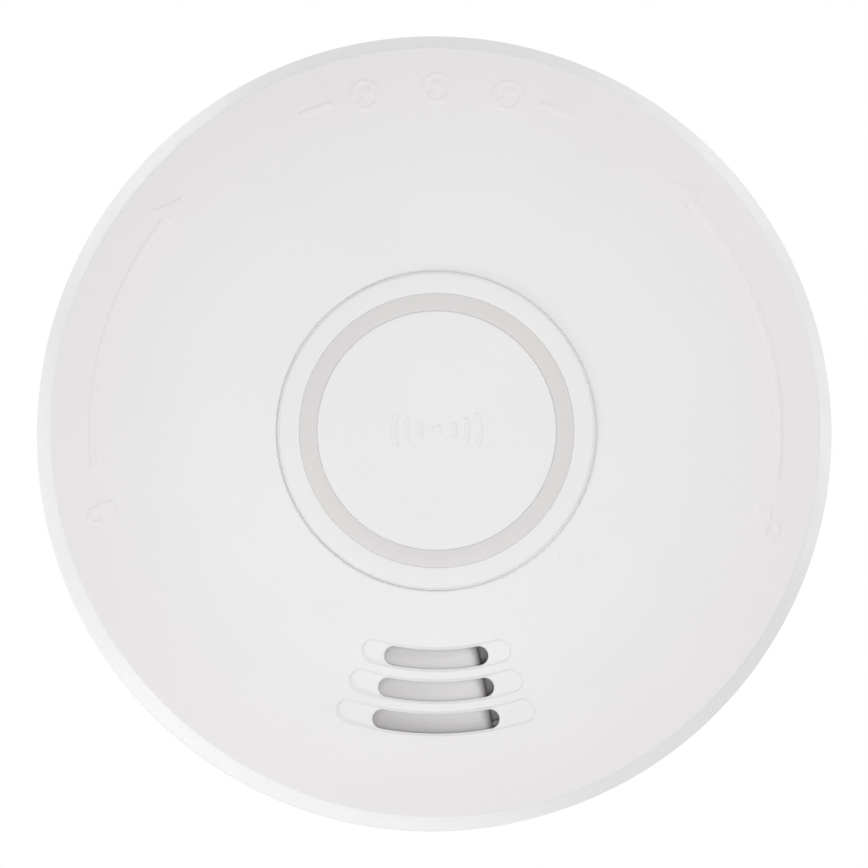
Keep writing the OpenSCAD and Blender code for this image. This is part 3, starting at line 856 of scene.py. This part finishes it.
def round_port_edge(bm):
    """Rounds the slanted top edge of the sound plate, beside the port."""
    a = math.radians(PORT_SLANT)
    side = Vector((math.cos(a), 0, math.sin(a)))

    def slanted():
        return [e for e in bm.edges if e.calc_length() > 5 * MM
                and any(abs(f.normal.dot(side)) > 0.999 for f in e.link_faces)
                and any(0.98 < abs(f.normal.y) < 0.9999 for f in e.link_faces)]

    # the short steps of the plate's rim next to the edge would limit the rounding
    plate = max((f for e in slanted() for f in e.link_faces), key=lambda f: abs(f.normal.y))
    start = slanted()[0].verts[0].co.copy()
    near = [v for v in plate.verts if 0.01 * MM < abs((v.co - start).dot(side)) < 2.6 * MM]
    steps = [e for e in bm.edges if any(v in near for v in e.verts)
             and abs((e.verts[1].co - e.verts[0].co).normalized().y) > 0.99]
    bmesh.ops.dissolve_edges(bm, edges=steps, use_verts=True)
    round_off(bm, slanted(), PORT_ROUND, 10)


# pieces that are the CAD solids with their edges rounded, and the width of the rounding
SOFT = [("mounting_plate", 0.2), ("rear_housing", 0.2), ("circuit_board", 0.06),
        ("control_chip", 0.08), ("chip_parts", 0.08), ("tact_switch", 0.12),
        ("switch_plunger", 0.2), ("chamber_base", 0.15), ("chamber_labyrinth", 0.15),
        ("insect_screen", 0.04), ("sounder_contacts", 0.06), ("battery_cradle", 0.2),
        ("battery_tabs", 0.06), ("board_screws", 0.12), ("housing_screws", 0.15)]


# ---------------------------------------------------------------- materials


def new_material(name):
    """A new material, its node tree and its shader."""
    mat = bpy.data.materials.new(name)
    mat.use_nodes = True
    tree = mat.node_tree
    return mat, tree, tree.nodes["Principled BSDF"]


def place_on(tree):
    """The position on the piece, in metres."""
    return tree.nodes.new("ShaderNodeTexCoord").outputs["Object"]


def noise(tree, scale, detail=3.0, roughness=0.55, place=None):
    """A noise texture's value, over the piece or over a given place."""
    node = tree.nodes.new("ShaderNodeTexNoise")
    node.inputs["Scale"].default_value = scale
    node.inputs["Detail"].default_value = detail
    node.inputs["Roughness"].default_value = roughness
    tree.links.new(place or place_on(tree), node.inputs["Vector"])
    return node.outputs["Fac"]


def ramp(tree, source, stops):
    """The colour of a ramp over a value, its stops given as (place, grey or colour)."""
    node = tree.nodes.new("ShaderNodeValToRGB")
    node.color_ramp.elements.remove(node.color_ramp.elements[1])
    for k, (place, value) in enumerate(stops):
        colour = (*value, 1) if isinstance(value, tuple) else (value, value, value, 1)
        element = node.color_ramp.elements[0] if k == 0 else node.color_ramp.elements.new(place)
        element.position, element.color = place, colour
    tree.links.new(source, node.inputs["Fac"])
    return node.outputs["Color"]


def glossed(tree, shader, source, stops):
    """Makes the shader's roughness follow a ramp over a value."""
    tree.links.new(ramp(tree, source, stops), shader.inputs["Roughness"])


def bumped(tree, shader, source, strength, distance, bevel=0.0):
    """Gives the shader a bump, on normals rounded at the edges if a bevel is given."""
    node = tree.nodes.new("ShaderNodeBump")
    node.inputs["Strength"].default_value = strength
    node.inputs["Distance"].default_value = distance
    tree.links.new(source, node.inputs["Height"])
    if bevel:
        edge = tree.nodes.new("ShaderNodeBevel")
        edge.samples = 4
        edge.inputs["Radius"].default_value = bevel
        tree.links.new(edge.outputs["Normal"], node.inputs["Normal"])
    tree.links.new(node.outputs["Normal"], shader.inputs["Normal"])


# how fine the noises of moulded plastic are: its drift of colour and of gloss, its sparked grain
DRIFT_SCALE = 45
GLOSS_SCALE = 160
SPARK_SCALE = 5200


def moulded(name, colour, spread=0.012, rough=0.48, grain=0.00004, bevel=0.0, shade=None):
    """Moulded plastic: a fine sparked texture and a faint drift of colour and gloss. A shade may
    be given, a function that changes the colour over the piece."""
    mat, tree, shader = new_material(name)
    low = tuple(max(0, c - spread) for c in colour)
    high = tuple(min(1, c + spread) for c in colour)
    tone = ramp(tree, noise(tree, DRIFT_SCALE, 2), [(0.35, low), (0.65, high)])
    if shade:
        tone = shade(tree, tone)
    tree.links.new(tone, shader.inputs["Base Color"])
    glossed(tree, shader, noise(tree, GLOSS_SCALE), [(0.3, rough - 0.04), (0.7, rough + 0.04)])
    bumped(tree, shader, noise(tree, SPARK_SCALE, 2, 0.6), 0.35, grain, bevel)
    shader.inputs["IOR"].default_value = 1.5
    return mat


def multiplied(tree, tone, share):
    """A colour times a share."""
    mix = tree.nodes.new("ShaderNodeMix")
    mix.data_type, mix.blend_type = "RGBA", "MULTIPLY"
    mix.inputs[0].default_value = 1.0
    tree.links.new(tone, mix.inputs[6])
    tree.links.new(share, mix.inputs[7])
    return mix.outputs[2]


def by_radius(tree, tone, stops):
    """Multiplies a colour by a ramp over the distance from the axis, its stops given in mm."""
    across = tree.nodes.new("ShaderNodeVectorMath")
    across.operation = "MULTIPLY"
    across.inputs[1].default_value = (1 / BODY_R / MM, 0, 1 / BODY_R / MM)
    tree.links.new(place_on(tree), across.inputs[0])
    far = tree.nodes.new("ShaderNodeVectorMath")
    far.operation = "LENGTH"
    tree.links.new(across.outputs[0], far.inputs[0])
    share = ramp(tree, far.outputs["Value"], [(r / BODY_R, value) for r, value in stops])
    return multiplied(tree, tone, share)


def rosy_rim(tree, tone):
    """A rosy tint that grows across the face and ends at its bevel."""
    return by_radius(tree, tone, [(29, 1.0), (38, (0.99, 0.9755, 0.9785)), (45, ROSY),
                                  (47.5, ROSY), (48.75, 0.98)])


def painted_slot_shade(tree, tone):
    """Painted shade on the sound plate, for the shadows of the slot walls: darker below each slot,
    darkest below the lowest, and darker to the left.
    """
    # painted shade: a ramp over the radius, darkest just below each slot's lower edge
    tone = by_radius(tree, tone, [(28, 0.97), (30, 0.86), (31.8, 1.0), (34, 0.87), (35.4, 0.98),
                                  (36.5, 0.83), (38, 0.62)])
    # painted shade: darker towards the left end of the slots
    split = tree.nodes.new("ShaderNodeSeparateXYZ")
    tree.links.new(place_on(tree), split.inputs[0])
    side = tree.nodes.new("ShaderNodeMapRange")
    for k, value in enumerate((-7 * MM, 3 * MM, 0.89, 1.0)):
        side.inputs[k + 1].default_value = value
    tree.links.new(split.outputs["X"], side.inputs[0])
    return multiplied(tree, tone, side.outputs[0])


def diffuser(name):
    """Milky plastic, greyish pink with creamy patches."""
    mat, tree, shader = new_material(name)
    tone = ramp(tree, noise(tree, 55, 1), [
        (0.35, (0.712, 0.684, 0.693)), (0.5, (0.71, 0.686, 0.686)), (0.65, (0.714, 0.693, 0.669))])
    tree.links.new(tone, shader.inputs["Base Color"])
    glossed(tree, shader, noise(tree, GLOSS_SCALE), [(0.3, 0.34), (0.7, 0.44)])
    bumped(tree, shader, noise(tree, SPARK_SCALE, 2, 0.6), 0.3, 0.00003)
    shader.inputs["IOR"].default_value = 1.5
    return mat


def metal(name, colour, rough=0.3, stretch=(1, 1, 1)):
    """Drawn or rolled metal: long fine scratches, and blotches of tarnish."""
    mat, tree, shader = new_material(name)
    mapping = tree.nodes.new("ShaderNodeMapping")
    mapping.inputs["Scale"].default_value = stretch
    tree.links.new(place_on(tree), mapping.inputs["Vector"])
    lines = noise(tree, 900, 4, 0.5, mapping.outputs["Vector"])
    dark = tuple(c * 0.8 for c in colour)
    tone = ramp(tree, noise(tree, 220), [(0.35, dark), (0.6, colour)])
    tree.links.new(tone, shader.inputs["Base Color"])
    glossed(tree, shader, lines, [(0.3, rough - 0.08), (0.7, rough + 0.12)])
    bumped(tree, shader, lines, 0.3, 0.00003)
    shader.inputs["Metallic"].default_value = 1.0
    return mat


def bricks(tree, width, height, gap, colours):
    """Rows of bars across the face, their sizes in millimetres."""
    turn = tree.nodes.new("ShaderNodeMapping")
    turn.inputs["Rotation"].default_value = (math.pi / 2, 0, 0)
    node = tree.nodes.new("ShaderNodeTexBrick")
    tree.links.new(place_on(tree), turn.inputs["Vector"])
    tree.links.new(turn.outputs["Vector"], node.inputs["Vector"])
    node.inputs["Scale"].default_value = 1 / MM
    node.inputs["Brick Width"].default_value = width
    node.inputs["Row Height"].default_value = height
    node.inputs["Mortar Size"].default_value = gap
    node.inputs["Mortar Smooth"].default_value = 0.0
    for socket, colour in zip(("Color1", "Color2", "Mortar"), colours):
        node.inputs[socket].default_value = (*colour, 1)
    return node


def label(name):
    """Silvered film with rows of plain printed bars."""
    mat, tree, shader = new_material(name)
    rows = bricks(tree, 7.0, 1.7, 0.55, [(0.1, 0.1, 0.1), (0.5, 0.5, 0.5), (0.7, 0.7, 0.7)])
    tree.links.new(rows.outputs["Color"], shader.inputs["Base Color"])
    glossed(tree, shader, noise(tree, 300), [(0.3, 0.25), (0.7, 0.36)])
    bumped(tree, shader, noise(tree, 900, 2), 0.2, 0.00002)
    return mat


def laminate(name):
    """Green solder mask over copper tracks, with tinned dots."""
    mat, tree, shader = new_material(name)
    tracks = bricks(tree, 5.3, 1.9, 0.12,
                    [(0.012, 0.13, 0.05), (0.016, 0.15, 0.06), (0.035, 0.26, 0.11)])
    dots = tree.nodes.new("ShaderNodeTexVoronoi")
    dots.inputs["Scale"].default_value = 320
    tree.links.new(place_on(tree), dots.inputs["Vector"])
    spot = ramp(tree, dots.outputs["Distance"], [(0.1, 1.0), (0.13, 0.0)])
    mix = tree.nodes.new("ShaderNodeMix")
    mix.data_type = "RGBA"
    mix.inputs[7].default_value = (0.7, 0.68, 0.62, 1)
    tree.links.new(spot, mix.inputs[0])
    tree.links.new(tracks.outputs["Color"], mix.inputs[6])
    tree.links.new(mix.outputs[2], shader.inputs["Base Color"])
    tree.links.new(spot, shader.inputs["Metallic"])
    glossed(tree, shader, noise(tree, 300), [(0.3, 0.22), (0.7, 0.34)])
    bumped(tree, shader, tracks.outputs["Fac"], 0.4, 0.00004)
    return mat


WHITE = (0.844, 0.844, 0.844)
ROSY = (0.98, 0.951, 0.957)
MATERIALS = {
    "cover_plastic": lambda n: moulded(n, WHITE, 0.006, 0.5, shade=rosy_rim),
    "button_plastic": lambda n: moulded(n, (0.836, 0.836, 0.836), 0.005, 0.46),
    "housing_plastic": lambda n: moulded(n, (0.82, 0.82, 0.812), 0.008, 0.5),
    "plate_plastic": lambda n: moulded(n, (0.8, 0.8, 0.79), 0.01, 0.52, bevel=0.00015),
    "diffuser_plastic": diffuser,
    # the sound plate's colour carries painted shade below the slots and to the left
    "sounder_plastic": lambda n: moulded(n, (0.835, 0.82, 0.825), 0.01, 0.5, shade=painted_slot_shade),
    "cradle_plastic": lambda n: moulded(n, (0.7, 0.7, 0.69), 0.015, 0.5, bevel=0.00015),
    "chamber_plastic": lambda n: moulded(n, (0.018, 0.018, 0.019), 0.006, 0.7, bevel=0.00015),
    "switch_body": lambda n: moulded(n, (0.035, 0.035, 0.037), 0.01, 0.45, bevel=0.0001),
    "switch_plunger": lambda n: moulded(n, (0.05, 0.05, 0.05), 0.01, 0.4, bevel=0.0001),
    "chip_resin": lambda n: moulded(n, (0.022, 0.022, 0.024), 0.008, 0.55, bevel=0.0001),
    "chip_ceramic": lambda n: moulded(n, (0.42, 0.32, 0.22), 0.05, 0.4, bevel=0.00008),
    "coil_ferrite": lambda n: moulded(n, (0.09, 0.07, 0.06), 0.03, 0.5, bevel=0.0001),
    "piezo_ceramic": lambda n: moulded(n, (0.66, 0.65, 0.62), 0.03, 0.35, bevel=0.00005),
    "battery_wrap": lambda n: moulded(n, (0.62, 0.2, 0.035), 0.03, 0.3, bevel=0.0003),
    "label_film": label,
    "board_laminate": laminate,
    "led_resin": lambda n: moulded(n, (0.6, 0.78, 0.62), 0.03, 0.15),
    "emitter_resin": lambda n: moulded(n, (0.5, 0.52, 0.7), 0.03, 0.12),
    "receiver_resin": lambda n: moulded(n, (0.03, 0.03, 0.05), 0.01, 0.12),
    "spring_steel": lambda n: metal(n, (0.62, 0.62, 0.6), 0.25),
    "screen_mesh": lambda n: metal(n, (0.35, 0.36, 0.37), 0.4),
    "capacitor_can": lambda n: metal(n, (0.75, 0.75, 0.77), 0.3, (1, 1, 6)),
    "piezo_brass": lambda n: metal(n, (0.83, 0.62, 0.28), 0.28),
    "contact_metal": lambda n: metal(n, (0.72, 0.7, 0.64), 0.3),
    "screw_steel": lambda n: metal(n, (0.66, 0.66, 0.67), 0.25),
}


def dress(pieces):
    """Gives every piece and every CAD node that still shows the material of its slot."""
    made = {name: make(name) for name, make in MATERIALS.items()}
    for s in frame["record"]["subparts"]:
        data = frame["nodes"][s["node"]].data
        data.materials.clear()
        data.materials.append(made[s["material_slot"]])
    for obj in pieces:
        obj.data.materials.clear()
        obj.data.materials.append(made[obj["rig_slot"]])


# ---------------------------------------------------------------- studio

# The photograph's view: the camera's distance, its turn to the side and upwards in degrees, its
# lens, and where it aims, as an offset from the middle of the bevel's outer edge
DISTANCE = 1.2
CAMERA_TURN = -1.9
CAMERA_RISE = -2.3
LENS = 396.86
AIM = Vector((-0.00011, 0, -0.00016))


def camera():
    """A camera that sees the alarm as the photograph does."""
    data = bpy.data.cameras.new("photo_camera")
    data.lens = LENS
    data.sensor_width = 36
    data.clip_end = 20
    cam = linked("photo_camera", data)
    turn, rise = math.radians(CAMERA_TURN), math.radians(CAMERA_RISE)
    back = Vector((math.sin(turn) * math.cos(rise), -math.cos(turn) * math.cos(rise), math.sin(rise)))
    target = Vector((0, -BEVEL_Z * MM, 0)) + AIM
    cam.location = target + back * DISTANCE
    cam.rotation_euler = (-back).to_track_quat("-Z", "Y").to_euler()
    bpy.context.scene.camera = cam


WORLD_LIGHT = 0.65
LAMP_AIM = Vector((0, -0.03, 0))
# Soft round lamps: name, angle round the face (0 is right, 90 up), angle in front of the
# face's plane, distance, width and power
LAMPS = [
    ("front", 262, 78, 0.3, 0.04, 0.135),
    ("low_front", 225, 20, 0.55, 0.15, 0.6),
    ("high_front", 45, 40, 0.55, 0.15, 0.52),
    ("right", 0, -35, 0.55, 0.3, 0.4),
    ("upper_right", 45, -35, 0.55, 0.3, 0.31),
    ("upper_left", 135, -35, 0.55, 0.3, 0.73),
    ("left", 180, -35, 0.55, 0.3, 0.31),
    ("lower_left", 225, -35, 0.55, 0.3, 0.43),
    ("below", 270, -35, 0.55, 0.3, 0.35),
    ("lower_right", 315, -35, 0.55, 0.3, 0.19),
]


def lamp(name, around, ahead, distance, width, watts):
    """A soft round lamp that the camera does not see."""
    data = bpy.data.lights.new(name, "AREA")
    data.shape, data.size, data.energy = "DISK", width, watts
    obj = linked(name, data)
    a, e = math.radians(around), math.radians(ahead)
    away = Vector((math.cos(a) * math.cos(e), -math.sin(e), math.sin(a) * math.cos(e)))
    obj.location = LAMP_AIM + away * distance
    obj.rotation_euler = away.to_track_quat("Z", "Y").to_euler()
    obj.visible_camera = False


def studio():
    """An even world light that the camera sees as plain white, and the lamps."""
    world = bpy.data.worlds.new("studio")
    world.use_nodes = True
    tree = world.node_tree
    tree.nodes.clear()
    out = tree.nodes.new("ShaderNodeOutputWorld")
    seen = tree.nodes.new("ShaderNodeBackground")
    lit = tree.nodes.new("ShaderNodeBackground")
    mix = tree.nodes.new("ShaderNodeMixShader")
    path = tree.nodes.new("ShaderNodeLightPath")
    seen.inputs["Color"].default_value = (1, 1, 1, 1)
    lit.inputs["Color"].default_value = (1, 1, 1, 1)
    lit.inputs["Strength"].default_value = WORLD_LIGHT
    tree.links.new(path.outputs["Is Camera Ray"], mix.inputs["Fac"])
    tree.links.new(lit.outputs[0], mix.inputs[1])
    tree.links.new(seen.outputs[0], mix.inputs[2])
    tree.links.new(mix.outputs[0], out.inputs["Surface"])
    scene = bpy.context.scene
    scene.world = world
    scene.view_settings.view_transform = "Standard"
    scene.view_settings.look = "None"
    for row in LAMPS:
        lamp(*row)


FLOOR_R = 3.5
FLOOR_Z = -0.6


def floor():
    """A plain pale disc, well below the alarm."""
    mesh = bpy.data.meshes.new("floor")
    ring = [(FLOOR_R * math.cos(a), FLOOR_R * math.sin(a), FLOOR_Z)
            for a in np.arange(64) * math.pi / 32]
    mesh.from_pydata(ring, [], [list(range(64))])
    obj = linked("floor", mesh)
    obj.data.materials.append(moulded("floor_paper", (0.86, 0.86, 0.86), 0.005, 0.7))


camera()
studio()
floor()
pieces = [front_cover(), test_button(), light_ring(), button_spring(), battery_cell(),
          capacitors(), boost_coil(), softened("sounder_housing", 0.2, round_port_edge)]
pieces += [softened(node, width) for node, width in SOFT]
dress(pieces)
